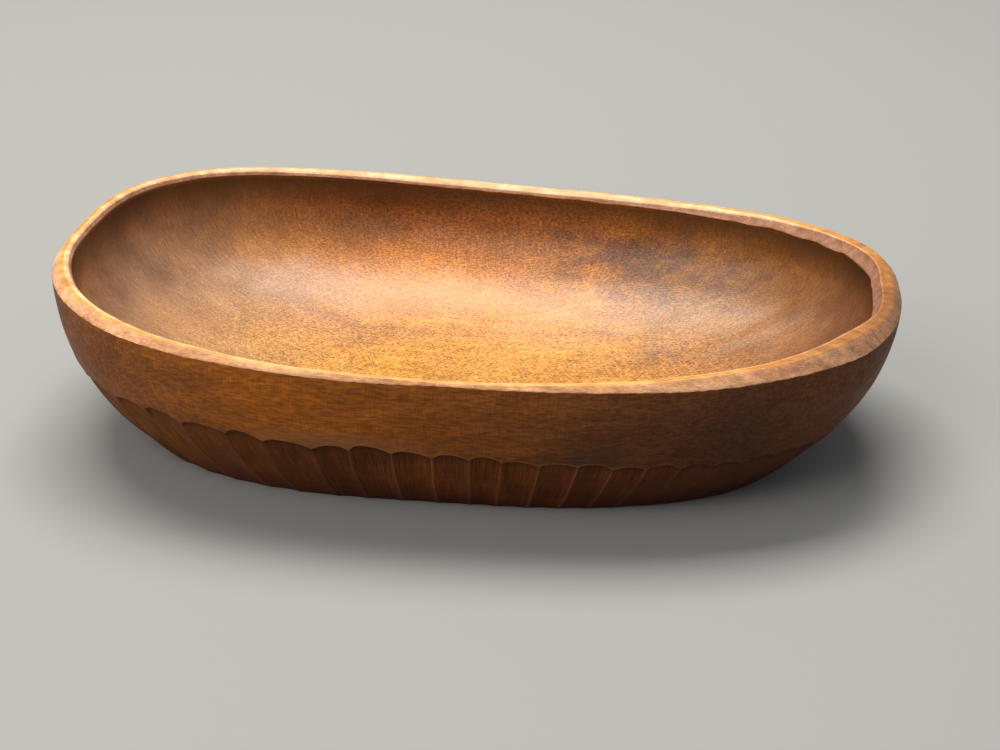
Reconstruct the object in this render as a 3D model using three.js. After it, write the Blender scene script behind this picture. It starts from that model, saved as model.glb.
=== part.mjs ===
import * as THREE from 'three';

// A hand-carved oval wooden bowl, cut in one piece from a single block.
// X runs along the bowl, Y across it and Z up. It stands on z = 0, under the middle of its rim.
// All sizes are in millimetres. The end towards -X is the fuller and higher one.

// Plan
const LENGTH = 300; // over the widest line of the outside, just under the rim's chamfer
const WIDTH = 176; // the same line, at the middle of the bowl
const TAPER = 0.092; // how much wider the -X end and narrower the +X end is than an even oval
const RIM_SQUARENESS = 2.63; // superellipse exponent of the rim: 2 would be an ellipse
const BASE_SQUARENESS = 2.8; // the same, at the base

// Height
const HEIGHT = 57; // top of the rim at the middle of a long side
const END_RISE = 7.8; // how much higher the rim climbs at the ends
const END_TILT = 2.3; // the -X end gains this and the +X end loses it

// Outside wall
const BASE_INSET_END = 32; // how far the base lies inside the plan, at the ends
const BASE_INSET_SIDE = 19; // the same, at the long sides
const BASE_SHIFT = -2.3; // the base lies this far towards -X from the middle of the rim
const WALL_CURVE = 2.1; // power by which the wall curves in towards the base

// Gouge flutes round the lower wall
const FLUTE_WIDTH = 14;
const FLUTE_BAND = 27; // height of the flutes' tops
const FLUTE_BAND_TILT = 5.5; // the tops climb by this towards -X
const FLUTE_ARCH = 2.4; // rise of each thumbnail top
const FLUTE_LEDGE = 0.7; // step from the smooth wall down into a flute
const FLUTE_DEPTH = 1.3; // hollow of a flute below its own edges

// Rim, from the outside in: each band is one size at the long sides and others at the two ends
const CHAMFER = { side: 1.7, fullEnd: 2.9, narrowEnd: 4.9 }; // outer chamfer, at 45 degrees
const CHAMFER_TIP = 2.6; // the chamfer narrows to this where the +X end faces straight along the bowl
const FLAT = { side: 1.6, fullEnd: 1.7, narrowEnd: 4.2 }; // level top of the rim
const BEVEL = { side: 2.4, fullEnd: 2.1, narrowEnd: 3.0 }; // knife-cut inner bevel, across
const BEVEL_FALL = { side: 2.5, fullEnd: 2.1, narrowEnd: 4.2 }; // the same, down
const UNDERCUT = 0.8; // how far the hollow's wall stands back under the bevel
const UNDERCUT_FALL = 1.8;

// Hollow
const FLOOR_THICKNESS = 9; // wood left under the middle of the hollow
const HOLLOW_SQUARENESS = 2.45; // upright section of the hollow: 2 would be an ellipse

// Fineness of the faceted solid
const STEPS_PER_FLUTE = 3;
const FLUTE_LEVELS = [0, 0.36, 0.72];
const WALL_LEVELS = [0.2, 0.5, 0.8];
const HOLLOW_STEPS = 8;
const PLAN_SAMPLES = 4000;

const HALF_LENGTH = LENGTH / 2;
const HALF_WIDTH = WIDTH / 2;
const EDGE_HEIGHT = HEIGHT - CHAMFER.side; // the chamfer's lower edge at the middle of a long side

// A power that keeps its sign, as a superellipse needs.
function signedPower(value, power) {
  return Math.sign(value) * Math.abs(value) ** power;
}

// A point of the oval that lies inside the plan by the two insets.
function ovalPoint(angle, insetEnd, insetSide, squareness) {
  const x = (HALF_LENGTH - insetEnd) * signedPower(Math.cos(angle), 2 / squareness);
  const y = (HALF_WIDTH - insetSide) * signedPower(Math.sin(angle), 2 / squareness);
  return new THREE.Vector2(x, y * (1 - (TAPER * x) / HALF_LENGTH));
}

// The size of a band of the rim at a place along the bowl, which runs from -1 to +1.
function bandAt(band, along) {
  const end = along < 0 ? band.fullEnd : band.narrowEnd;
  return band.side + (end - band.side) * along * along;
}

// The size of the outer chamfer at one station.
function chamferAt(station) {
  const size = bandAt(CHAMFER, station.along);
  if (station.along < 0) return size;
  const facing = Math.abs(station.inward.x); // 0 at a long side and 1 at the very end
  return THREE.MathUtils.lerp(size, CHAMFER_TIP, THREE.MathUtils.clamp(4 * facing - 3, 0, 1));
}

// The added height of the rim at a place along the bowl, which runs from -1 to +1.
function rimRise(along) {
  return END_RISE * along * along - END_TILT * along;
}

// Angles that divide the plan's outline into flutes of equal width, each with its few steps.
function evenAngles() {
  const angles = [];
  const lengths = [];
  let total = 0;
  let previous = ovalPoint(0, 0, 0, RIM_SQUARENESS);
  for (let i = 0; i <= PLAN_SAMPLES; i++) {
    const angle = (2 * Math.PI * i) / PLAN_SAMPLES;
    const point = ovalPoint(angle, 0, 0, RIM_SQUARENESS);
    total += point.distanceTo(previous);
    angles.push(angle);
    lengths.push(total);
    previous = point;
  }
  const flutes = Math.round(total / FLUTE_WIDTH);
  const count = flutes * STEPS_PER_FLUTE;
  let next = 0;
  return Array.from({ length: count }, (_, i) => {
    const wanted = (total * i) / count;
    while (lengths[next + 1] < wanted) next++;
    const part = (wanted - lengths[next]) / (lengths[next + 1] - lengths[next]);
    return THREE.MathUtils.lerp(angles[next], angles[next + 1], part);
  });
}

// Everything that the rings need to know at each place round the bowl.
function makeStations() {
  const angles = evenAngles();
  const plan = angles.map((angle) => ovalPoint(angle, 0, 0, RIM_SQUARENESS));
  return angles.map((angle, i) => {
    const before = plan[(i + plan.length - 1) % plan.length];
    const after = plan[(i + 1) % plan.length];
    const tangent = after.clone().sub(before).normalize();
    const across = (i % STEPS_PER_FLUTE) / STEPS_PER_FLUTE; // 0 at a flute's edge, 0.5 at its middle
    return {
      angle,
      plan: plan[i],
      inward: new THREE.Vector2(-tangent.y, tangent.x),
      along: plan[i].x / HALF_LENGTH,
      bulge: 4 * across * (1 - across),
    };
  });
}

// The outside wall at a height, which the wall has above the middle of a long side, cut in by a depth.
function wallPoint(station, height, cut) {
  const level = height / EDGE_HEIGHT;
  const lean = (1 - level) ** WALL_CURVE;
  const squareness = THREE.MathUtils.lerp(BASE_SQUARENESS, RIM_SQUARENESS, level);
  const point = ovalPoint(station.angle, BASE_INSET_END * lean, BASE_INSET_SIDE * lean, squareness);
  point.x += BASE_SHIFT * (1 - level);
  point.addScaledVector(station.inward, cut);
  const edge = HEIGHT - chamferAt(station) + rimRise(station.along);
  const z = height + level * level * (edge - EDGE_HEIGHT);
  return new THREE.Vector3(point.x, point.y, z);
}

// The height of a flute's arched top.
function fluteTop(station) {
  return FLUTE_BAND - FLUTE_BAND_TILT * station.along + FLUTE_ARCH * (station.bulge - 0.5);
}

// A point of the rim, measured in from the plan and down from the rim's top.
function rimPoint(station, across, down) {
  const point = station.plan.clone().addScaledVector(station.inward, across);
  return new THREE.Vector3(point.x, point.y, HEIGHT + rimRise(station.along) - down);
}

// The hollow, from its edge under the bevel (turn 0) to the middle of its floor (turn 1).
function hollowPoint(station, turn) {
  const edge = undercutPoint(station);
  const bend = (turn * Math.PI) / 2;
  const reach = Math.cos(bend) ** (2 / HOLLOW_SQUARENESS);
  const sink = Math.sin(bend) ** (2 / HOLLOW_SQUARENESS);
  return new THREE.Vector3(edge.x * reach, edge.y * reach, edge.z + (FLOOR_THICKNESS - edge.z) * sink);
}

// Where the inner bevel begins and ends, measured in from the plan.
function bevelStart(station) {
  return chamferAt(station) + bandAt(FLAT, station.along);
}

function bevelEnd(station) {
  return bevelStart(station) + bandAt(BEVEL, station.along);
}

// The hollow's edge, in the small cove under the bevel.
function undercutPoint(station) {
  const fall = bandAt(BEVEL_FALL, station.along) + UNDERCUT_FALL;
  return rimPoint(station, bevelEnd(station) - UNDERCUT, fall);
}

// The rings of the surface, from the middle of the base, up the outside and down into the hollow.
function makeRings() {
  const fluteRings = FLUTE_LEVELS.map((level) => (station) =>
    wallPoint(station, level * fluteTop(station), FLUTE_LEDGE + FLUTE_DEPTH * station.bulge));
  const wallRings = WALL_LEVELS.map((level) => (station) =>
    wallPoint(station, THREE.MathUtils.lerp(fluteTop(station), EDGE_HEIGHT, level), 0));
  const hollowRings = Array.from({ length: HOLLOW_STEPS - 1 }, (_, i) => (station) =>
    hollowPoint(station, (i + 1) / HOLLOW_STEPS));
  return [
    () => new THREE.Vector3(BASE_SHIFT, 0, 0),
    ...fluteRings,
    (station) => wallPoint(station, fluteTop(station) - FLUTE_LEDGE, FLUTE_LEDGE),
    (station) => wallPoint(station, fluteTop(station), 0),
    ...wallRings,
    (station) => rimPoint(station, 0, chamferAt(station)),
    (station) => rimPoint(station, chamferAt(station), 0),
    (station) => rimPoint(station, bevelStart(station), 0),
    (station) => rimPoint(station, bevelEnd(station), bandAt(BEVEL_FALL, station.along)),
    undercutPoint,
    ...hollowRings,
    () => new THREE.Vector3(0, 0, FLOOR_THICKNESS),
  ];
}

// A lathe of the right number of rings and steps, bent to the bowl's own oval and rim.
function makeBowlGeometry() {
  const stations = makeStations();
  const rings = makeRings();
  const last = rings.length - 1;
  const profile = rings.map((_, j) => new THREE.Vector2(j === 0 || j === last ? 0 : 1, j));
  const geometry = new THREE.LatheGeometry(profile, stations.length);
  const position = geometry.getAttribute('position');
  for (let i = 0; i <= stations.length; i++) {
    const station = stations[i % stations.length];
    rings.forEach((ring, j) => {
      const { x, y, z } = ring(station);
      position.setXYZ(i * rings.length + j, x, y, z);
    });
  }
  geometry.computeVertexNormals();
  return geometry;
}

const wood = new THREE.MeshStandardMaterial({ color: 0x7a3f1e, roughness: 0.55, metalness: 0 });

const bowlBody = new THREE.Mesh(makeBowlGeometry(), wood);
bowlBody.name = 'bowl_body';

const bowl = new THREE.Group();
bowl.add(bowlBody);

export default bowl;
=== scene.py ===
import math

import bmesh
import bpy
import numpy as np
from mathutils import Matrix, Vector, noise


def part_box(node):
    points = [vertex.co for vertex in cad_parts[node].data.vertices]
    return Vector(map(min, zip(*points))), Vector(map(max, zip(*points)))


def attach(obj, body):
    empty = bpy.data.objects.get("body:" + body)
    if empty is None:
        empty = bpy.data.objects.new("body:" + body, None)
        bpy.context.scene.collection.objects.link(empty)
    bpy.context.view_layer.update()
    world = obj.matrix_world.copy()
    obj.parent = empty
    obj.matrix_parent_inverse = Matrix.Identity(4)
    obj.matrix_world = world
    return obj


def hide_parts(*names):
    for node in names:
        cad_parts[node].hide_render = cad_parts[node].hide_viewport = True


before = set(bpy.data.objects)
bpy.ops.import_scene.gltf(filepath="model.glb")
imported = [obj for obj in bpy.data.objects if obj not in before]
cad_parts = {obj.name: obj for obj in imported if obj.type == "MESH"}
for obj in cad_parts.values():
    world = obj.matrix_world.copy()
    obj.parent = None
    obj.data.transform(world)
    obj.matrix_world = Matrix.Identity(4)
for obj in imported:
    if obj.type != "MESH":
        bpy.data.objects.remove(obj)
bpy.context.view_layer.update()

MM = 0.001

# ---------------------------------------------------------------- sizes of the bowl
body_low, body_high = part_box("bowl_body")
TAPER = 0.092  # the end towards -X is this much wider than an even oval, and the other end narrower
TAPER_SWELL = 1.0129  # the taper makes the widest place this many times as wide as the middle
END_RISE = 7.8 * MM
END_TILT = 2.3 * MM
HALF_LENGTH = (body_high[0] - body_low[0]) / 2
HALF_WIDTH = (body_high[1] - body_low[1]) / 2 / TAPER_SWELL
HEIGHT = body_high[2] - END_RISE - END_TILT
RIM_SQUARENESS = 2.63
BASE_SQUARENESS = 2.8

BASE_INSET_END = 32 * MM
BASE_INSET_SIDE = 19 * MM
BASE_SHIFT = -2.3 * MM
BASE_MARGIN = 0.5 * MM  # the base's last ring lies this far inside the foot of the flutes
WALL_CURVE = 2.1  # power by which the wall curves in towards the base

FLUTE_WIDTH = 14 * MM
FLUTE_BAND = 27 * MM
FLUTE_BAND_TILT = 5.5 * MM
FLUTE_ARCH = 2.2 * MM
FLUTE_DEPTH = 1.0 * MM
FLUTE_LEDGE = 0.6 * MM  # step from the smooth wall down into a flute
FLUTE_LEDGE_FULL_END = 1.9 * MM

# No two flutes are alike: each one's own sizes are these shares of the usual size.
FULL_END_EXTRA_WIDTH = 0.55  # flutes are wider by this share at the full end
FLUTE_WIDTH_SPREAD = (0.84, 1.16)
FLUTE_ARCH_SPREAD = (0.55, 1.3)
FLUTE_DEPTH_SPREAD = (0.65, 1.35)
FLUTE_SKEW = 0.12  # how far a flute's arch may lean to one side
FLUTE_CORNER_SHIFT = 0.9 * MM  # how far the corner between two arches may lie up or down
FLUTE_SECTION = 2.2  # power of a flute's hollow cross-section: 2 would be a parabola
FLUTE_ARCH_SECTION = 2.6  # the same, for its arched top

# Each band of the rim has one size at the long sides and others at the full and the narrow end.
CHAMFER = (0.8 * MM, 3.1 * MM, 4.8 * MM)
CHAMFER_TIP = 2.6 * MM  # the chamfer narrows to this where the +X end faces straight along the bowl
FLAT = (0.9 * MM, 1.4 * MM, 4.0 * MM)
SLOPE = (2.6 * MM, 1.5 * MM, 0.4 * MM)  # worn inner shoulder between the flat and the bevel
SLOPE_FALL = (1.5 * MM, 0.8 * MM, 0.2 * MM)
BEVEL = (0.5 * MM, 0.7 * MM, 2.5 * MM)
BEVEL_FALL = (1.0 * MM, 1.2 * MM, 4.0 * MM)
KNIFE_MARKS = (0.35, 0.12, 0.7)  # how strongly the knife's separate cuts show in the bevel
UNDERCUT = (0.8 * MM, 0.2 * MM, 0.8 * MM)
UNDERCUT_FALL = 1.8 * MM
SHOULDER_CROWN = 0.12 * MM  # how far the worn shoulder is rounded

# The knife's separate cuts: the shortest and the longest, how deep, and how unlike each other.
NICK_LENGTH = (3 * MM, 8 * MM)  # along the chamfer's lower edge
NICK_DEPTH = 0.30 * MM
FACET_LENGTH = (9 * MM, 30 * MM)  # along the bevel
FACET_DEPTH = 0.30 * MM
FACET_SWING = 0.30  # how much wider and narrower the bevel gets from cut to cut, as a share
CUT_STRENGTH = (0.35, 1.0)

# Slow wanders of the hand round the bowl: how far, and over what length.
NICK_WANDER = (0.25 * MM, 40 * MM)
TOP_WANDER = (0.15 * MM, 22 * MM)
FLAT_WANDER = (0.15, 30 * MM)  # as a share of the flat's width
LIP_WANDER = (0.35 * MM, 16 * MM)
LIP_SHAKE = (0.20 * MM, 7 * MM)
PATCHY_WEAR = (1, 35 * MM)

FLOOR_THICKNESS = 9 * MM
HOLLOW_SQUARENESS = 2.45

RIDGE_WIDTH = 0.04  # worn half width of the ridge between two flutes, as a share of a flute
RIDGE_WEAR = 0.6
# How strong the painted shade under the flutes' arches is, beside that in the cove
ARCH_SHADE = 0.7

# ---------------------------------------------------------------- fineness of the mesh
OUTLINE_STEPS = 7200
FLUTE_COLUMNS = (0.0, 0.035, 0.10, 0.20, 0.32, 0.44, 0.56, 0.68, 0.80, 0.90, 0.965)
BASE_RINGS = (0.0, 0.12, 0.28, 0.44, 0.60, 0.75, 0.88, 0.96)
FLUTE_RINGS = 14
FLUTE_REACH = (0.012, 0.90)  # the parts of a flute's height that these rings cover
ARCH_BELOW = ((1.5, 1.0), (0.7, 1.0), (0.28, 0.96))  # rings below an arch: mm down, share of the cut
ARCH_ABOVE = ((-0.06, 0.72), (0.12, 0.25), (0.38, 0.0))  # rings over its edge: mm up, share of the ledge
WALL_START = 1.2 * MM  # the smooth wall's first ring, above the arches
WALL_RINGS = 14
HOLLOW_RINGS = 46
FACE_RINGS = (0.35, 0.65)  # rings across each face of the rim, between those close to its edges
EDGE_ROUND = 0.2 * MM  # how far the worn corners of the rim are rounded
SMALLEST_RING = 0.4 * MM  # half size of the blank's first and last rings, before each is one point
SMOOTH_ANGLE = math.radians(35)

random = np.random.default_rng(12)


# ---------------------------------------------------------------- the bowl's outline
def signed_power(value, power):
    """A power that keeps the value's sign, as a superellipse needs."""
    return np.sign(value) * np.abs(value) ** power


def oval(angle, inset_end, inset_side, squareness):
    """Points of the squared-off, tapered oval that lies inside the plan by the two insets."""
    x = (HALF_LENGTH - inset_end) * signed_power(np.cos(angle), 2 / squareness)
    y = (HALF_WIDTH - inset_side) * signed_power(np.sin(angle), 2 / squareness)
    return np.stack([x, y * (1 - TAPER * x / HALF_LENGTH)], axis=-1)


class Columns:
    """The upright lines of the mesh, which run round the bowl and crowd together at each flute's edge."""

    def __init__(self):
        angles = np.linspace(0, 2 * math.pi, OUTLINE_STEPS + 1)
        outline = oval(angles, 0, 0, RIM_SQUARENESS)
        steps = np.linalg.norm(np.diff(outline, axis=0), axis=1)
        travel = np.concatenate([[0], np.cumsum(steps)])
        self.girth = travel[-1]
        self.flutes = round(self.girth / FLUTE_WIDTH)
        place = (np.arange(self.flutes) + 0.5) / self.flutes * 2 * math.pi
        fuller = 1 + FULL_END_EXTRA_WIDTH * np.clip(-np.cos(place), 0, 1)
        widths = fuller * random.uniform(*FLUTE_WIDTH_SPREAD, self.flutes)
        widths *= self.girth / widths.sum()
        starts = np.concatenate([[0], np.cumsum(widths)[:-1]])
        offsets = np.array(FLUTE_COLUMNS)
        self.travel = (starts[:, None] + widths[:, None] * offsets).ravel()
        self.flute = np.repeat(np.arange(self.flutes), len(offsets))
        self.across = np.tile(offsets, self.flutes)
        self.angle = np.interp(self.travel, travel, angles)
        self.count = len(self.angle)
        self.plan = oval(self.angle, 0, 0, RIM_SQUARENESS)
        step = 0.5 * MM
        ahead = np.interp((self.travel + step) % self.girth, travel, angles)
        behind = np.interp((self.travel - step) % self.girth, travel, angles)
        tangent = oval(ahead, 0, 0, RIM_SQUARENESS) - oval(behind, 0, 0, RIM_SQUARENESS)
        tangent /= np.linalg.norm(tangent, axis=1)[:, None]
        self.inward = np.stack([-tangent[:, 1], tangent[:, 0]], axis=1)
        self.along = self.plan[:, 0] / HALF_LENGTH


columns = Columns()


def band(sizes, power=2.0):
    """A size at every column, given at the long sides, the full end and the narrow end."""
    side, full_end, narrow_end = sizes
    end = np.where(columns.along < 0, full_end, narrow_end)
    return side + (end - side) * np.abs(columns.along) ** power


def rim_rise():
    """How far the rim climbs above its height at the middle of a long side."""
    return END_RISE * columns.along ** 2 - END_TILT * columns.along


def sway(seed, size, wavelength):
    """A slow wander round the bowl, about so far either way, as a hand-held tool leaves."""
    circle = columns.travel / columns.girth * 2 * math.pi
    radius = columns.girth / 2 / math.pi / wavelength
    points = np.stack([np.cos(circle) * radius, np.sin(circle) * radius], axis=1)
    return size * np.array([2 * noise.noise(Vector((x, y, seed * 7.3))) for x, y in points])


def knife_cuts(shortest, longest):
    """Separate scooped cuts, one after another round the bowl: 0 at their ends and 1 in their middles."""
    lengths = []
    while sum(lengths) < columns.girth - longest:
        lengths.append(random.uniform(shortest, longest))
    lengths.append(columns.girth - sum(lengths))
    starts = np.concatenate([[0], np.cumsum(lengths)])
    place = np.clip(np.searchsorted(starts, columns.travel, side="right") - 1, 0, len(lengths) - 1)
    part = (columns.travel - starts[place]) / np.array(lengths)[place]
    weight = random.uniform(*CUT_STRENGTH, len(lengths))[place]
    return weight * 4 * part * (1 - part)


def chamfer_sizes():
    """The outer chamfer's size at every column."""
    sizes = band(CHAMFER, 1.25)
    facing = np.clip(4 * np.abs(columns.inward[:, 0]) - 3, 0, 1) * (columns.along > 0)
    return sizes + (CHAMFER_TIP - sizes) * facing


chamfer = chamfer_sizes()


# ---------------------------------------------------------------- rings of the outside
EDGE_HEIGHT = HEIGHT - CHAMFER[0]


def wall_ring(height, cut):
    """One ring of the outside wall. The height is what it would be at the middle of a long side."""
    level = height / EDGE_HEIGHT
    lean = np.clip(1 - level, 0, None) ** WALL_CURVE
    squareness = BASE_SQUARENESS + (RIM_SQUARENESS - BASE_SQUARENESS) * level
    points = oval(columns.angle, BASE_INSET_END * lean, BASE_INSET_SIDE * lean, squareness)
    points[:, 0] += BASE_SHIFT * (1 - level)
    points += columns.inward * np.broadcast_to(cut, columns.count)[:, None]
    edge = HEIGHT - chamfer + rim_rise()
    z = height + level ** 2 * (edge - EDGE_HEIGHT)
    return np.column_stack([points, z])


class Flutes:
    """The gouge cuts round the lower wall, each a little different from the next."""

    def __init__(self):
        flute, across = columns.flute, columns.across
        following = (flute + 1) % columns.flutes
        self.bulge = 1 - np.abs(2 * across - 1) ** FLUTE_SECTION
        corner = random.uniform(-FLUTE_CORNER_SHIFT, FLUTE_CORNER_SHIFT, columns.flutes)
        arch = FLUTE_ARCH * random.uniform(*FLUTE_ARCH_SPREAD, columns.flutes)
        skew = random.uniform(-FLUTE_SKEW, FLUTE_SKEW, columns.flutes)
        depth = FLUTE_DEPTH * random.uniform(*FLUTE_DEPTH_SPREAD, columns.flutes)
        leaning = np.clip(across + skew[flute] * self.bulge, 0, 1)
        bowed = 1 - np.abs(2 * leaning - 1) ** FLUTE_ARCH_SECTION
        corners = corner[flute] * (1 - across) + corner[following] * across
        line = FLUTE_BAND - FLUTE_BAND_TILT * columns.along - 0.5 * FLUTE_ARCH
        self.top = line + corners + arch[flute] * bowed
        full_end = np.clip((-columns.along - 0.35) / 0.5, 0, 1)
        ledge = FLUTE_LEDGE + (FLUTE_LEDGE_FULL_END - FLUTE_LEDGE) * full_end
        faint = np.clip((0.66 - columns.along) / 0.3, 0.3, 1)
        self.ledge = ledge * (0.25 + 0.75 * self.bulge) * faint
        self.depth = depth[flute] * self.bulge * faint

    def cut(self, part):
        """How deep the flutes lie at a part of their height, from 0 at the base to 1 at the arched tops."""
        run_in = np.clip((1 - part) / 0.45, 0, 1) ** 0.7
        run_out = np.clip(part / 0.35, 0, 1)
        ledge = self.ledge * (0.3 + 0.7 * run_out)
        hollow = self.depth * (0.45 + 0.55 * run_in) * (0.2 + 0.8 * run_out)
        return ledge + hollow


flutes = Flutes()


def base_rings():
    level = np.zeros(columns.count)
    foot = wall_ring(level, flutes.cut(0))
    middle = np.array([BASE_SHIFT, 0, 0])
    rings = [middle + (foot - middle) * part for part in BASE_RINGS]
    return rings + [foot + np.column_stack([columns.inward, level]) * BASE_MARGIN]


def flute_rings():
    rings = []
    for part in np.linspace(*FLUTE_REACH, FLUTE_RINGS):
        rings.append(wall_ring(flutes.top * part, flutes.cut(part)))
    for below, share in ARCH_BELOW:
        part = 1 - below * MM / flutes.top
        rings.append(wall_ring(flutes.top * part, flutes.cut(part) * share))
    for above, share in ARCH_ABOVE:
        rings.append(wall_ring(flutes.top + above * MM, flutes.ledge * share))
    return rings


def chamfer_nicks():
    """How far the chamfer's lower edge dips, nick by nick."""
    return NICK_DEPTH * knife_cuts(*NICK_LENGTH) + sway(1, *NICK_WANDER)


def upper_wall_rings(nick):
    start = flutes.top + WALL_START
    end = EDGE_HEIGHT - EDGE_ROUND - nick
    return [wall_ring(start + (end - start) * part, 0) for part in np.linspace(0, 1, WALL_RINGS)]


# ---------------------------------------------------------------- rings of the rim and the hollow
def rim_ring(across, down):
    """One ring of the rim, measured in from the plan and down from the rim's top."""
    points = columns.plan + columns.inward * np.broadcast_to(across, columns.count)[:, None]
    return np.column_stack([points, HEIGHT + rim_rise() - down])


def face_rings(start, end, scoop=0.0):
    """Rings across one face of the rim, which may be scooped hollow."""
    across, down = start
    width, fall = end[0] - across, end[1] - down
    near = np.minimum(EDGE_ROUND / np.hypot(width, fall), 0.25)
    rings = []
    for part in (near, *FACE_RINGS, 1 - near):
        dip = scoop * 4 * part * (1 - part)
        rings.append(rim_ring(across + width * part - dip, down + fall * part + dip))
    return rings


class Rim:
    """The chamfer, the level top, the worn shoulder, the knife-cut bevel and the cove under it."""

    def __init__(self, nick):
        facet = knife_cuts(*FACET_LENGTH)
        marks = band(KNIFE_MARKS)
        uneven = sway(4, *TOP_WANDER)
        cut = 1 + FACET_SWING * marks * (facet - 0.4)
        drift = marks * (sway(3, *LIP_WANDER) + sway(5, *LIP_SHAKE))
        foot = (np.zeros(columns.count), chamfer + nick)
        outer = (chamfer, uneven)
        inner = (chamfer + band(FLAT) * (1 + sway(2, *FLAT_WANDER)), uneven)
        shoulder = (inner[0] + band(SLOPE), uneven + band(SLOPE_FALL))
        lip = (shoulder[0] + band(BEVEL) * cut, shoulder[1] + band(BEVEL_FALL) * cut + drift)
        self.chamfer = face_rings(foot, outer)
        self.flat = face_rings(outer, inner)
        self.slope = face_rings(inner, shoulder, -SHOULDER_CROWN)
        self.bevel = face_rings(shoulder, lip, FACET_DEPTH * facet * marks)
        undercut = band(UNDERCUT)
        self.edge = (lip[0] - undercut, shoulder[1] + band(BEVEL_FALL) + UNDERCUT_FALL)
        self.cove = [
            rim_ring(lip[0] - 0.05 * MM, lip[1] + 0.10 * MM),
            rim_ring(lip[0] - 0.6 * undercut, lip[1] + 0.35 * MM),
            rim_ring(self.edge[0], lip[1] + 0.9 * MM),
            rim_ring(*self.edge),
        ]


def hollow_rings(rim):
    """The hollow, from the cove under the bevel to the middle of its floor."""
    edge = rim_ring(*rim.edge)
    rings = []
    for turn in np.linspace(0, 1, HOLLOW_RINGS + 1)[1:]:
        bend = turn * math.pi / 2
        reach = max(math.cos(bend), 0) ** (2 / HOLLOW_SQUARENESS)
        sink = math.sin(bend) ** (2 / HOLLOW_SQUARENESS)
        z = edge[:, 2] + (FLOOR_THICKNESS - edge[:, 2]) * sink
        rings.append(np.column_stack([edge[:, :2] * reach, z]))
    return rings


ZONES = ("base", "flutes", "wall", "chamfer", "flat", "slope", "bevel", "cove", "hollow")


def all_rings():
    """Every ring, from the middle of the base up the outside and down into the hollow, and its zone."""
    nick = chamfer_nicks()
    rim = Rim(nick)
    groups = [
        ("base", base_rings()),
        ("flutes", flute_rings()),
        ("wall", upper_wall_rings(nick)),
        ("chamfer", rim.chamfer),
        ("flat", rim.flat),
        ("slope", rim.slope),
        ("bevel", rim.bevel),
        ("cove", rim.cove),
        ("hollow", hollow_rings(rim)),
    ]
    rings = [ring for _, group in groups for ring in group]
    zones = [ZONES.index(zone) for zone, group in groups for _ in group]
    return np.array(rings), np.array(zones)


# ---------------------------------------------------------------- modelling the bowl
def deselect_all():
    bpy.ops.object.select_all(action="DESELECT")


def mark_selected(piece, layer_name, number):
    """Writes a number on the selected points, so that they can be found again."""
    mesh = bmesh.from_edit_mesh(piece.data)
    layer = mesh.verts.layers.int.get(layer_name) or mesh.verts.layers.int.new(layer_name)
    for vert in mesh.verts:
        if vert.select:
            vert[layer] = number
    bmesh.update_edit_mesh(piece.data)


def number_columns(piece):
    """Numbers the points of the first ring round the bowl. Points extruded from them keep the number."""
    mesh = bmesh.from_edit_mesh(piece.data)
    layer = mesh.verts.layers.int.new("column")
    for vert in mesh.verts:
        turn = math.atan2(vert.co.y, vert.co.x) % (2 * math.pi)
        vert[layer] = round(turn / (2 * math.pi) * columns.count) % columns.count
    bmesh.update_edit_mesh(piece.data)


def rough_out(rings):
    """Draws a plain oval blank out of one disc: across the base, up the wall, over the rim, down inside."""
    reach = np.maximum(np.ptp(rings[:, :, :2], axis=1) / 2, SMALLEST_RING)
    heights = rings[:, :, 2].mean(axis=1)
    deselect_all()
    bpy.ops.mesh.primitive_circle_add(
        vertices=columns.count, radius=1.0, fill_type="NGON", location=(0, 0, 0))
    blank = bpy.context.object
    blank.name = "bowl"
    blank.data.name = "bowl"
    bpy.ops.object.mode_set(mode="EDIT")
    bpy.ops.mesh.select_all(action="SELECT")
    number_columns(blank)
    bpy.ops.transform.resize(value=(reach[0][0], reach[0][1], 1), center_override=(0, 0, 0))
    mark_selected(blank, "ring", 0)
    for number in range(1, len(rings)):
        longer, wider = reach[number] / reach[number - 1]
        rise = heights[number] - heights[number - 1]
        bpy.ops.mesh.extrude_region_move(TRANSFORM_OT_translate={"value": (0, 0, rise)})
        bpy.ops.transform.resize(value=(longer, wider, 1), center_override=(0, 0, heights[number]))
        mark_selected(blank, "ring", number)
    bpy.ops.object.mode_set(mode="OBJECT")
    return blank


def ring_and_column(piece):
    """The ring and the column that each point belongs to."""
    rings = np.empty(len(piece.data.vertices), dtype=np.int32)
    order = np.empty(len(piece.data.vertices), dtype=np.int32)
    piece.data.attributes["ring"].data.foreach_get("value", rings)
    piece.data.attributes["column"].data.foreach_get("value", order)
    return rings, order


def surface_normals(rings):
    """Outward normals of the grid of rings and columns."""
    round_bowl = np.roll(rings, -1, axis=1) - np.roll(rings, 1, axis=1)
    up_bowl = np.gradient(rings, axis=0)
    normals = np.cross(round_bowl, up_bowl)
    length = np.linalg.norm(normals, axis=2, keepdims=True)
    return normals / np.maximum(length, 1e-12)


def ripple(points, wavelength, seed):
    """Smooth unevenness of the surface, about -1 to 1."""
    shift = Vector((seed * 3.1, seed * 5.7, seed * 9.2))
    flat = points.reshape(-1, 3) / wavelength
    values = [noise.noise(Vector(point) + shift) for point in flat]
    return 2 * np.array(values).reshape(points.shape[:-1])


RIPPLE_WAVELENGTHS = (45 * MM, 14 * MM, 5 * MM)

# Slow, quicker and fine unevenness of each zone, in millimetres. The rim's bands have a little of each.
RIM_UNEVENNESS = (0.05, 0.05, 0.03)
UNEVENNESS = {
    "base": (0, 0, 0),
    "flutes": (0.15, 0.08, 0.05),
    "wall": (0.30, 0.12, 0),
    "cove": (0.10, 0.05, 0),
    "hollow": (0.35, 0.16, 0),
}


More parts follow.
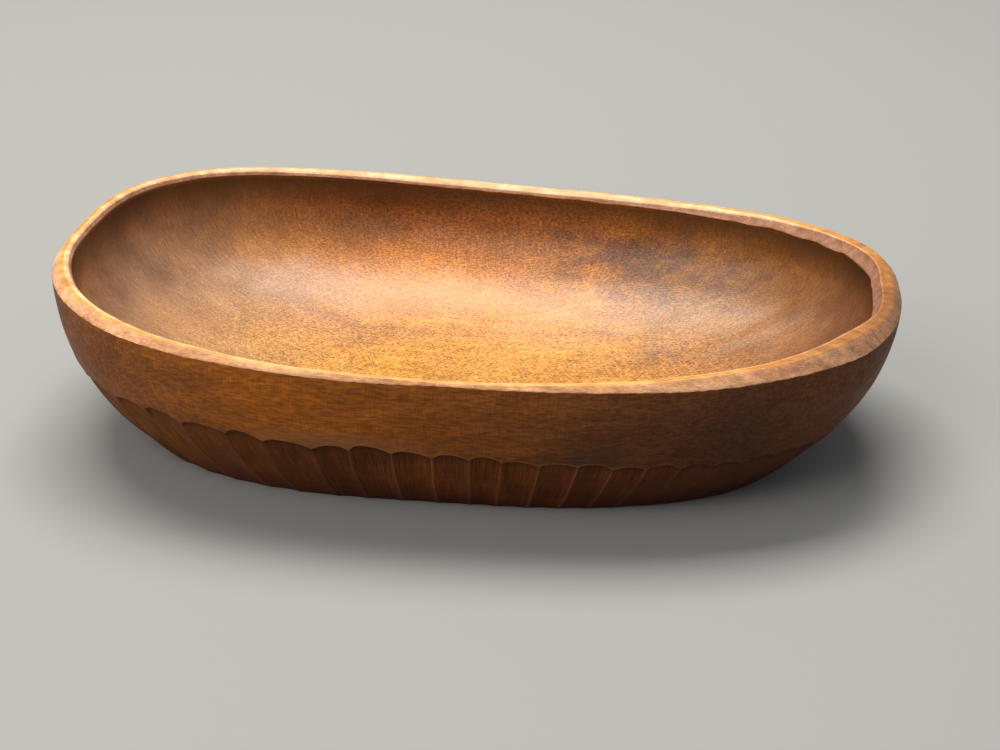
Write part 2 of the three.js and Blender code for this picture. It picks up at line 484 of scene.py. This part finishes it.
def hand_work(rings, zones):
    """Moves the surface by the small unevenness that the gouge, the scraper and long use have left."""
    normals = surface_normals(rings)
    sizes = np.array([UNEVENNESS.get(ZONES[zone], RIM_UNEVENNESS) for zone in zones]) * MM
    move = np.zeros(rings.shape[:2])
    for kind, wavelength in enumerate(RIPPLE_WAVELENGTHS):
        move += ripple(rings, wavelength, kind + 1) * sizes[:, kind, None]
    return rings + normals * move[:, :, None]


def carve(blank, rings, zones):
    """Takes the oval blank to the bowl's own outline, flutes, rim and hollow."""
    shaped = hand_work(rings, zones)
    shaped[0] = shaped[0].mean(axis=0)
    shaped[-1] = shaped[-1].mean(axis=0)
    shaped[zones == 0, :, 2] = 0
    ring, column = ring_and_column(blank)
    blank.data.vertices.foreach_set("co", shaped[ring, column].astype(np.float32).ravel())
    blank.data.update()


def close_middles(blank):
    """Draws the first and last rings together into one point each, and turns every face outwards."""
    bpy.ops.object.mode_set(mode="EDIT")
    bpy.ops.mesh.select_all(action="SELECT")
    bpy.ops.mesh.remove_doubles(threshold=0.01 * MM)
    bpy.ops.mesh.normals_make_consistent(inside=False)
    bpy.ops.object.mode_set(mode="OBJECT")


def near_ring(ring, number, spread):
    """1 at a ring, falling to 0 at so many rings away from it."""
    return np.clip(1 - np.abs(ring - number) / spread, 0, 1)


def worn_mask(ring, column, first, in_flutes):
    """Where the finish is rubbed off: the ridges and arches of the flutes, and the rim's corners."""
    along = columns.along[column]
    rubbed = np.clip(along * 1.4 + 0.6, 0, 1) * np.clip((0.6 - along) / 0.2, 0.1, 1)
    patchy = 0.55 + 0.45 * np.clip(sway(6, *PATCHY_WEAR), -1, 1)[column]
    edge = np.minimum(columns.across, 1 - columns.across)[column]
    ridge = RIDGE_WEAR * np.clip(1 - edge / RIDGE_WIDTH, 0, 1) * in_flutes
    arch = near_ring(ring, first["wall"] - 1.5, 1.4)
    corner = np.maximum(near_ring(ring, first["flat"], 1), near_ring(ring, first["bevel"] - 0.5, 1.2))
    corner *= np.clip(1.1 - 1.3 * np.abs(along), 0, 1)
    return np.maximum(np.maximum(ridge, arch) * rubbed * patchy, corner)


def painted_shade_mask(ring, first, in_flutes):
    """Where shade is painted: darker in the cove under the bevel, and under the arches of the flutes, where
    these overhangs keep the light off.
    """
    under_bevel = near_ring(ring, first["cove"] + 3, 5)
    under_arch = near_ring(ring, first["wall"] - 4.5, 3) * in_flutes
    return np.maximum(under_bevel, ARCH_SHADE * under_arch)


def paint_wear(blank, zones):
    """Gives every point its wear, its painted shade and its distance round the bowl."""
    ring, column = ring_and_column(blank)
    first = {name: np.flatnonzero(zones == number)[0] for number, name in enumerate(ZONES)}
    in_flutes = zones[ring] == ZONES.index("flutes")
    layers = {
        "worn": worn_mask(ring, column, first, in_flutes),
        "overhang_shade": painted_shade_mask(ring, first, in_flutes),
        "round": columns.travel[column],
    }
    for name, values in layers.items():
        layer = blank.data.attributes.new(name, "FLOAT", "POINT")
        layer.data.foreach_set("value", values.astype(np.float32))


def face_zones(blank, zones):
    """Each face takes the zone of its highest-numbered ring."""
    ring, _ = ring_and_column(blank)
    found = np.empty(len(blank.data.polygons), dtype=np.int32)
    for face in blank.data.polygons:
        found[face.index] = zones[max(ring[point] for point in face.vertices)]
    return found


# ---------------------------------------------------------------- wood
EVEN = (0.5, 0.5, 0.5)  # what a noise is on average, which stands in for it where a mark is masked out
OPAQUE = 1.0


class Wood:
    """A node tree for one finish of the same wood, built in order from left to right."""

    def __init__(self, name):
        self.material = bpy.data.materials.new(name)
        self.material.use_nodes = True
        self.tree = self.material.node_tree
        self.shader = self.tree.nodes["Principled BSDF"]
        self.place = self.add("ShaderNodeTexCoord").outputs["Object"]

    def add(self, kind, **settings):
        node = self.tree.nodes.new(kind)
        for key, value in settings.items():
            setattr(node, key, value)
        return node

    def link(self, source, target):
        self.tree.links.new(source, target)

    def stretched(self, scale, turn=0.0, shift=(0, 0, 0)):
        """The place on the bowl, turned about Z and then stretched, so that a pattern runs one way."""
        turned = self.add("ShaderNodeMapping")
        self.link(self.place, turned.inputs["Vector"])
        turned.inputs["Rotation"].default_value = (0, 0, turn)
        node = self.add("ShaderNodeMapping")
        self.link(turned.outputs["Vector"], node.inputs["Vector"])
        node.inputs["Location"].default_value = shift
        node.inputs["Scale"].default_value = scale
        return node.outputs["Vector"]

    def coordinate(self, axis):
        node = self.add("ShaderNodeSeparateXYZ")
        self.link(self.place, node.inputs["Vector"])
        return node.outputs[axis]

    def height(self):
        return self.coordinate("Z")

    def noise(self, place, detail, roughness, distortion=0.0):
        node = self.add("ShaderNodeTexNoise")
        self.link(place, node.inputs["Vector"])
        node.inputs["Scale"].default_value = 1.0
        node.inputs["Detail"].default_value = detail
        node.inputs["Roughness"].default_value = roughness
        node.inputs["Distortion"].default_value = distortion
        return node.outputs["Fac"]

    def pattern(self, fineness, detail, roughness, distortion=0.0):
        """A noise with so many marks to the metre along X, Y and Z."""
        return self.noise(self.stretched(fineness), detail, roughness, distortion)

    def scratches(self, turn, length, spacing):
        """Fine parallel marks of a scraper or of sanding, turned so far from the bowl's length."""
        return self.noise(self.stretched((1 / length, 1 / spacing, 1 / spacing), turn), 2.0, 0.6)

    def upright(self, spacing, length):
        """Fine marks that run straight down the wall."""
        node = self.add("ShaderNodeCombineXYZ")
        self.link(self.maths("MULTIPLY", self.attribute("round"), 1 / spacing), node.inputs["X"])
        self.link(self.maths("MULTIPLY", self.height(), 1 / length), node.inputs["Y"])
        return self.noise(node.outputs["Vector"], 3.0, 0.6)

    def patch(self, centre, size):
        """A soft round patch on the bowl: 1 at its centre and 0 at its edge."""
        scale = tuple(1 / s for s in size)
        shift = tuple(-c / s for c, s in zip(centre, size))
        node = self.add("ShaderNodeTexGradient", gradient_type="SPHERICAL")
        self.link(self.stretched(scale, shift=shift), node.inputs["Vector"])
        return node.outputs["Fac"]

    def attribute(self, name):
        return self.add("ShaderNodeAttribute", attribute_name=name).outputs["Fac"]

    def maths(self, operation, first, second):
        node = self.add("ShaderNodeMath", operation=operation)
        for socket, value in zip(node.inputs, (first, second)):
            if isinstance(value, (int, float)):
                socket.default_value = value
            else:
                self.link(value, socket)
        return node.outputs["Value"]

    def steps(self, value, low, high, out_low=0.0, out_high=1.0):
        """Goes smoothly from one output to the other as the value goes from low to high."""
        node = self.add("ShaderNodeMapRange", interpolation_type="SMOOTHSTEP")
        self.link(value, node.inputs["Value"])
        node.inputs["From Min"].default_value = low
        node.inputs["From Max"].default_value = high
        node.inputs["To Min"].default_value = out_low
        node.inputs["To Max"].default_value = out_high
        return node.outputs["Result"]

    def mix(self, share, first, second):
        """The first colour, with so large a share of the second."""
        node = self.add("ShaderNodeMix", data_type="RGBA")
        for socket, value in ((node.inputs[0], share), (node.inputs[6], first), (node.inputs[7], second)):
            if isinstance(value, tuple):
                socket.default_value = (*value, OPAQUE)
            else:
                self.link(value, socket)
        return node.outputs[2]

    def stain(self, colour, mask, strength, tint):
        """The colour with a tint laid over it, at most this strong, where the mask is."""
        return self.mix(self.maths("MULTIPLY", mask, strength), colour, tint)

    def shade(self, colour, value, low, high, darkest, brightest):
        """The colour made darker where the value is low and brighter where it is high."""
        node = self.add("ShaderNodeVectorMath", operation="SCALE")
        self.link(colour, node.inputs["Vector"])
        self.link(self.steps(value, low, high, darkest, brightest), node.inputs["Scale"])
        return node.outputs["Vector"]

    def bump(self, height, strength, distance, before=None):
        node = self.add("ShaderNodeBump")
        node.inputs["Strength"].default_value = strength
        node.inputs["Distance"].default_value = distance
        self.link(height, node.inputs["Height"])
        if before is not None:
            self.link(before, node.inputs["Normal"])
        return node.outputs["Normal"]

    def finish(self, colour, roughness, normal):
        self.link(colour, self.shader.inputs["Base Color"])
        self.link(roughness, self.shader.inputs["Roughness"])
        self.link(normal, self.shader.inputs["Normal"])
        return self.material


def srgb(red, green, blue):
    """A colour named by its usual 0 to 255 values, as the shader wants it."""
    def linear(value):
        value /= 255
        return value / 12.92 if value <= 0.04045 else ((value + 0.055) / 1.055) ** 2.4
    return linear(red), linear(green), linear(blue)


def grain(wood, dark, middle, light):
    """The wood itself: broad soft figure and finer streaks, all along the bowl."""
    figure = wood.pattern((6, 24, 24), 3.0, 0.6, distortion=0.8)
    streaks = wood.pattern((40, 420, 420), 4.0, 0.65, distortion=0.3)
    colour = wood.mix(wood.steps(figure, 0.32, 0.66), dark, light)
    colour = wood.mix(wood.steps(streaks, 0.42, 0.66, 0.0, 0.75), colour, middle)
    return colour, streaks


def pores(wood):
    """Short dark pores: dashes where the surface runs with the grain, and dots where it cuts across."""
    return wood.steps(wood.pattern((230, 2100, 2100), 2.0, 0.5), 0.36, 0.28)


def pits(wood, spacing, radius, share):
    """Small black pits, of which only this share of the places has one."""
    node = wood.add("ShaderNodeTexVoronoi")
    wood.link(wood.place, node.inputs["Vector"])
    node.inputs["Scale"].default_value = 1 / spacing
    chance = wood.add("ShaderNodeSeparateColor")
    wood.link(node.outputs["Color"], chance.inputs["Color"])
    near = wood.steps(node.outputs["Distance"], radius / spacing, 0.55 * radius / spacing)
    chosen = wood.steps(chance.outputs[0], 1 - share, 1 - share + 0.02)
    return wood.maths("MULTIPLY", near, chosen)


def make_wall_wood():
    """The smooth outer wall: golden in front, greyer at the full end and dark at the narrow one, where the
    dark is partly the wood and partly painted shade for the light falling off.
    """
    wood = Wood("wood_outer_wall")
    colour, streaks = grain(wood, srgb(92, 46, 13), srgb(122, 65, 20), srgb(156, 88, 26))
    golden_front = wood.patch((-0.05, -0.09, 0.040), (0.11, 0.07, 0.05))
    full_end = wood.patch((-0.15, -0.05, 0.03), (0.10, 0.10, 0.06))
    narrow_end = wood.patch((0.10, -0.08, 0.03), (0.13, 0.12, 0.10))
    colour = wood.mix(golden_front, colour, srgb(164, 90, 18))
    colour = wood.mix(full_end, colour, srgb(128, 78, 46))
    # Partly painted shade: the narrow end is darkened where the light falls off
    colour = wood.mix(narrow_end, colour, srgb(68, 39, 25))
    blotches = wood.pattern((35, 110, 110), 4.0, 0.65, distortion=0.6)
    dashes = wood.pattern((240, 1300, 1300), 2.0, 0.6)
    scrapes = wood.upright(0.35 * MM, 7 * MM)
    colour = wood.shade(colour, blotches, 0.34, 0.66, 0.84, 1.16)
    colour = wood.shade(colour, dashes, 0.34, 0.66, 0.76, 1.28)
    colour = wood.shade(colour, scrapes, 0.35, 0.65, 0.86, 1.15)
    pale_smear = wood.patch((-0.035, -0.085, 0.031), (0.040, 0.03, 0.006))
    dark_smudge = wood.patch((0.047, -0.085, 0.028), (0.022, 0.03, 0.010))
    colour = wood.stain(colour, pale_smear, 0.6, srgb(140, 100, 66))
    colour = wood.stain(colour, dark_smudge, 0.6, srgb(46, 38, 36))
    colour = wood.stain(colour, pores(wood), 0.3, srgb(44, 22, 10))
    colour = wood.stain(colour, wood.attribute("worn"), 0.6, srgb(186, 132, 82))
    rough = wood.steps(streaks, 0.3, 0.7, 0.48, 0.64)
    normal = wood.bump(streaks, 0.30, 0.15 * MM)
    normal = wood.bump(dashes, 0.40, 0.10 * MM, normal)
    wood.shader.inputs["Specular IOR Level"].default_value = 0.18
    return wood.finish(colour, rough, normal)


def make_flute_wood():
    """Inside the gouge cuts: darker wood, darkened further by painted shade for the little light that
    reaches them low on the wall, with the fine upright marks that the tool has left.
    """
    wood = Wood("wood_flutes")
    # These browns are partly the wood and partly painted shade, darker than the wood for the little light
    # near the foot
    colour, _ = grain(wood, srgb(84, 40, 9), srgb(98, 48, 12), srgb(112, 58, 15))
    full_end = wood.patch((-0.13, -0.06, 0.01), (0.10, 0.09, 0.05))
    narrow_end = wood.patch((0.13, -0.06, 0.01), (0.12, 0.10, 0.06))
    colour = wood.mix(full_end, colour, srgb(132, 78, 34))
    colour = wood.mix(narrow_end, colour, srgb(74, 38, 20))
    tool_marks = wood.upright(0.30 * MM, 14 * MM)
    blotches = wood.pattern((90, 90, 60), 3.0, 0.6)
    colour = wood.shade(colour, tool_marks, 0.36, 0.64, 0.55, 1.55)
    colour = wood.shade(colour, blotches, 0.36, 0.64, 0.90, 1.12)
    # Painted shade: the flutes grow darker and redder towards the base, where the bowl stands in shadow
    shaded_foot = wood.steps(wood.height(), 13 * MM, 0.0, 0.0, 0.6)
    colour = wood.mix(shaded_foot, colour, srgb(72, 20, 6))
    # Painted shade under the arches of the flutes
    colour = wood.stain(colour, wood.attribute("overhang_shade"), 0.8, srgb(28, 14, 6))
    colour = wood.stain(colour, wood.attribute("worn"), 0.85, srgb(180, 124, 72))
    rough = wood.steps(tool_marks, 0.3, 0.7, 0.48, 0.66)
    normal = wood.bump(tool_marks, 0.45, 0.12 * MM)
    wood.shader.inputs["Specular IOR Level"].default_value = 0.15
    return wood.finish(colour, rough, normal)


def make_rim_wood(name, dark, light, worn, narrow_end):
    """One band of the rim, where handling has worn the finish to paler wood."""
    wood = Wood(name)
    figure = wood.pattern((50, 120, 120), 3.0, 0.6)
    colour = wood.mix(wood.steps(figure, 0.34, 0.66), dark, light)
    near_end = wood.patch((0.155, -0.02, 0.06), (0.13, 0.11, 0.12))
    colour = wood.mix(near_end, colour, narrow_end)
    mottle = wood.pattern((160, 260, 260), 4.0, 0.7)
    fibres = wood.pattern((420, 2400, 2400), 3.0, 0.6)
    knife_lines = wood.mix(near_end, EVEN, wood.upright(0.5 * MM, 100 * MM))
    colour = wood.shade(colour, mottle, 0.34, 0.64, 0.82, 1.20)
    colour = wood.shade(colour, fibres, 0.36, 0.64, 0.82, 1.18)
    colour = wood.shade(colour, knife_lines, 0.34, 0.47, 0.55, 1.0)
    colour = wood.stain(colour, wood.attribute("worn"), 0.7, worn)
    rough = wood.steps(fibres, 0.3, 0.7, 0.44, 0.62)
    normal = wood.bump(fibres, 0.30, 0.10 * MM)
    wood.shader.inputs["Specular IOR Level"].default_value = 0.25
    return wood.finish(colour, rough, normal)


def colour_hollow(wood, colour):
    """The hollow's broad colours: amber floor, browner ends, golden back, painted shade under the back rim
    and an old dark stain.
    """
    golden_back = wood.steps(wood.patch((-0.03, 0.060, 0.032), (0.12, 0.05, 0.032)), 0.0, 1.0)
    amber_patch = wood.patch((-0.03, -0.006, 0.010), (0.20, 0.056, 0.05))
    amber_floor = wood.steps(amber_patch, 0.0, 1.0, 0.0, 0.8)
    full_end = wood.patch((-0.15, 0.01, 0.04), (0.12, 0.12, 0.08))
    narrow_end = wood.patch((0.15, 0.01, 0.04), (0.13, 0.12, 0.08))
    # Painted shade: the back wall darkens just under the back rim, which overhangs it
    shaded_back_wall = wood.patch((-0.05, 0.085, 0.048), (0.12, 0.030, 0.024))
    front = wood.steps(wood.patch((0.0, -0.095, 0.045), (0.24, 0.085, 0.06)), 0.0, 0.5)
    colour = wood.mix(golden_back, colour, srgb(214, 128, 34))
    colour = wood.mix(amber_floor, colour, srgb(226, 156, 50))
    colour = wood.mix(full_end, colour, srgb(158, 121, 94))
    colour = wood.mix(narrow_end, colour, srgb(104, 66, 44))
    colour = wood.mix(shaded_back_wall, colour, srgb(112, 56, 8))
    colour = wood.mix(front, colour, srgb(122, 72, 38))
    mottle = wood.steps(wood.pattern((50, 100, 60), 4.0, 0.7), 0.32, 0.66)
    old_stain = wood.maths("MULTIPLY", wood.patch((0.055, 0.066, 0.034), (0.085, 0.042, 0.028)), mottle)
    colour = wood.mix(wood.steps(old_stain, 0.0, 0.7, 0.0, 0.62), colour, srgb(92, 58, 46))
    clouds = wood.pattern((22, 30, 30), 3.0, 0.6)
    return wood.shade(colour, clouds, 0.32, 0.66, 0.80, 1.22)


def make_hollow_wood():
    """The hollow: rubbed and oiled by use, scratched on its floor and smooth up its wall."""
    wood = Wood("wood_hollow")
    colour, streaks = grain(wood, srgb(140, 80, 24), srgb(172, 107, 36), srgb(202, 134, 46))
    colour = colour_hollow(wood, colour)
    to_left = wood.scratches(1.15, 7 * MM, 0.5 * MM)
    to_right = wood.scratches(-1.0, 8 * MM, 0.55 * MM)
    lengthwise = wood.scratches(0.03, 22 * MM, 0.7 * MM)
    marks = wood.maths("ADD", wood.maths("ADD", to_left, to_right), lengthwise)
    floor = wood.steps(wood.height(), 26 * MM, 12 * MM)
    steep = wood.steps(wood.height(), 10 * MM, 28 * MM)
    on_floor = wood.mix(floor, EVEN, wood.maths("DIVIDE", marks, 3.0))
    on_wall = wood.mix(steep, EVEN, wood.upright(0.4 * MM, 5 * MM))
    colour = wood.shade(colour, on_floor, 0.38, 0.62, 0.62, 1.42)
    colour = wood.shade(colour, on_wall, 0.34, 0.66, 0.78, 1.24)
    middle = wood.steps(wood.patch((0.0, 0.0, 0.03), (0.16, 0.16, 0.12)), 0.10, 0.55, 0.2, 1.0)
    tooth = wood.mix(middle, EVEN, wood.pattern((800, 2300, 1700), 2.0, 0.6))
    colour = wood.shade(colour, tooth, 0.36, 0.64, 0.58, 1.44)
    colour = wood.stain(colour, pores(wood), 0.4, srgb(80, 42, 20))
    colour = wood.mix(pits(wood, 16 * MM, 0.6 * MM, 0.3), colour, srgb(30, 20, 16))
    # Painted shade in the cove under the bevel
    colour = wood.stain(colour, wood.attribute("overhang_shade"), 0.85, srgb(48, 22, 6))
    rough = wood.steps(marks, 1.2, 1.8, 0.34, 0.48)
    normal = wood.bump(marks, 0.35, 0.08 * MM)
    normal = wood.bump(on_wall, 0.25, 0.06 * MM, normal)
    normal = wood.bump(tooth, 0.75, 0.16 * MM, normal)
    normal = wood.bump(streaks, 0.20, 0.10 * MM, normal)
    polish = wood.steps(wood.coordinate("Y"), -55 * MM, -5 * MM, 0.08, 0.66)
    wood.link(polish, wood.shader.inputs["Specular IOR Level"])
    return wood.finish(colour, rough, normal)


# The darker and the lighter wood of each band, then its worn corners and its colour at the narrow end.
RIM_COLOURS = {
    "base": (srgb(92, 52, 24), srgb(120, 72, 36), srgb(146, 96, 56), srgb(92, 52, 24)),
    # The chamfer's pale pinkish tint is partly the wood and partly a painted reflection of cool room light
    "chamfer": (srgb(218, 152, 106), srgb(244, 182, 132), srgb(255, 222, 184), srgb(138, 100, 76)),
    "flat": (srgb(214, 138, 56), srgb(240, 168, 80), srgb(255, 220, 144), srgb(138, 88, 48)),
    "slope": (srgb(236, 174, 118), srgb(255, 206, 156), srgb(255, 232, 200), srgb(164, 98, 38)),
    # The bevel's pinkish tint is partly the wood and partly a painted reflection of cool room light
    "bevel": (srgb(170, 120, 92), srgb(198, 150, 120), srgb(230, 184, 154), srgb(152, 108, 82)),
}


def make_materials():
    """The finish of each zone. The base has the same fibres as the rim, in browner wood."""
    materials = {zone: make_rim_wood("wood_" + zone, *colours) for zone, colours in RIM_COLOURS.items()}
    materials["flutes"] = make_flute_wood()
    materials["wall"] = make_wall_wood()
    materials["cove"] = materials["hollow"] = make_hollow_wood()
    return materials


def make_bowl():
    rings, zones = all_rings()
    bowl = rough_out(rings)
    carve(bowl, rings, zones)
    paint_wear(bowl, zones)
    close_middles(bowl)
    materials = make_materials()
    for zone in ZONES:
        bowl.data.materials.append(materials[zone])
    bowl.data.polygons.foreach_set("material_index", face_zones(bowl, zones))
    deselect_all()
    bowl.select_set(True)
    bpy.context.view_layer.objects.active = bowl
    bpy.ops.object.shade_smooth_by_angle(angle=SMOOTH_ANGLE)
    return bowl


# ---------------------------------------------------------------- floor, light and camera
FLOOR_SIZE = 6.0
CAMERA_AZIMUTH = math.radians(7.58)
CAMERA_ELEVATION = math.radians(28.22)
CAMERA_ROLL = math.radians(0.54)
CAMERA_DISTANCE = 0.5511
CAMERA_AIM_HEIGHT = 0.045
CAMERA_AIM_RIGHT = 0.0085
CAMERA_AIM_UP = -0.0279
CAMERA_LENS = 54.0
PAPER_COLOUR = (0.34, 0.34, 0.33, 1)
ROOM_COLOUR = (0.9, 0.95, 1.0, 1)
ROOM_BRIGHTNESS = 0.25


def make_floor():
    deselect_all()
    bpy.ops.mesh.primitive_plane_add(size=FLOOR_SIZE, location=(0, 0, 0))
    floor = bpy.context.object
    floor.name = "floor"
    paper = bpy.data.materials.new("pale_paper")
    paper.use_nodes = True
    shader = paper.node_tree.nodes["Principled BSDF"]
    shader.inputs["Base Color"].default_value = PAPER_COLOUR
    shader.inputs["Roughness"].default_value = 0.75
    floor.data.materials.append(paper)


def make_light(name, place, aim, size, power, colour):
    """A soft rectangular light that faces a point."""
    data = bpy.data.lights.new(name, "AREA")
    data.shape = "RECTANGLE"
    data.size, data.size_y = size
    data.energy = power
    data.color = colour
    lamp = bpy.data.objects.new(name, data)
    lamp.location = place
    lamp.rotation_euler = (Vector(aim) - Vector(place)).to_track_quat("-Z", "Y").to_euler()
    bpy.context.scene.collection.objects.link(lamp)


def make_world():
    world = bpy.data.worlds.new("studio")
    world.use_nodes = True
    background = world.node_tree.nodes["Background"]
    background.inputs["Color"].default_value = ROOM_COLOUR
    background.inputs["Strength"].default_value = ROOM_BRIGHTNESS
    bpy.context.scene.world = world


def make_camera():
    """Looks a little down at the bowl from the front, so far out along the azimuth and elevation."""
    azimuth, elevation, roll = CAMERA_AZIMUTH, CAMERA_ELEVATION, CAMERA_ROLL
    level = math.cos(elevation)
    back = Vector((math.sin(azimuth) * level, -math.cos(azimuth) * level, math.sin(elevation)))
    right = Vector((math.cos(azimuth), math.sin(azimuth), 0))
    up = back.cross(right)
    rolled_right = right * math.cos(roll) + up * math.sin(roll)
    rolled_up = up * math.cos(roll) - right * math.sin(roll)
    aim = Vector((0, 0, CAMERA_AIM_HEIGHT)) + rolled_right * CAMERA_AIM_RIGHT + rolled_up * CAMERA_AIM_UP
    data = bpy.data.cameras.new("camera")
    data.lens = CAMERA_LENS
    data.clip_start = 0.01
    camera = bpy.data.objects.new("camera", data)
    camera.location = aim + back * CAMERA_DISTANCE
    turn = (-back).to_track_quat("-Z", "Y").to_matrix().to_4x4()
    camera.rotation_euler = turn.to_euler()
    camera.rotation_euler.rotate_axis("Z", roll)
    bpy.context.scene.collection.objects.link(camera)
    bpy.context.scene.camera = camera


make_camera()
make_world()
make_floor()
make_light("window", (-0.25, 0.60, 1.89), (0, 0, 0), (1.4, 0.85), 49, (1.0, 0.97, 0.90))
make_light("ceiling", (-0.8, -0.9, 1.2), (0, 0, 0.03), (1.0, 1.0), 11, (1.0, 0.97, 0.93))
bpy.context.scene.view_settings.view_transform = "Standard"

bowl = make_bowl()
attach(bowl, "root")
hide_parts("bowl_body")
